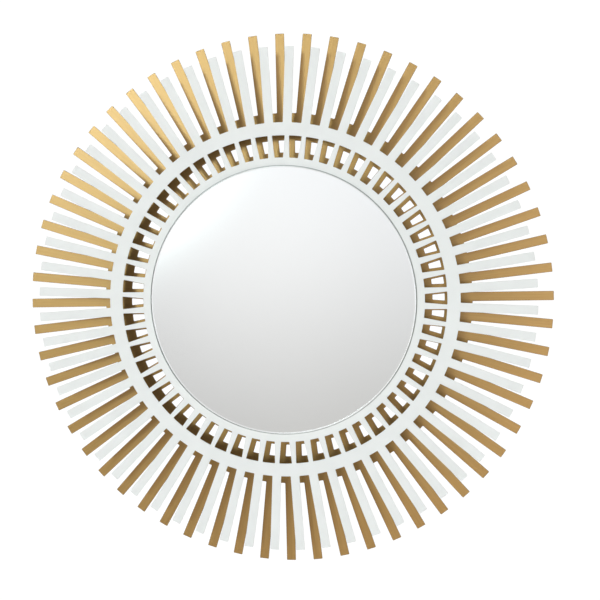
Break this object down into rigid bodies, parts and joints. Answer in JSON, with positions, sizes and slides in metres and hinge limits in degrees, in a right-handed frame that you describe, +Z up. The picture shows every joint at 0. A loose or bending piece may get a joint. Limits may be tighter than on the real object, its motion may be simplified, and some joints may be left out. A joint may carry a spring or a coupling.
{
  "type": "wall mirror",
  "caption": "Round wall mirror framed by a white sheet-metal sun in front of a larger gold one, with straight square-ended rays; hangs by a keyhole in its back.",
  "frame": {"origin": "middle of the flat back of the gold sheet, where it lies against the wall", "axes": "+Y goes into the wall, -Y towards the viewer, +Z up, +X to the viewer's right"},
  "size_m": [0.8002, 0.0423, 0.8002],
  "materials": {
    "gold_finish": "brushed, satin",
    "white_paint": "satin powder coat",
    "silvered_glass": "polished, with a narrow ground edge",
    "zinc_plate": "zinc plated"
  },
  "bodies": {
    "root": {"back_sunburst": "gold_finish", "front_sunburst": "white_paint", "mirror_glass": "silvered_glass", "standoff_1": "zinc_plate", "standoff_2": "zinc_plate", "standoff_3": "zinc_plate", "standoff_4": "zinc_plate", "standoff_5": "zinc_plate", "standoff_6": "zinc_plate"}
  },
  "joints": []
}
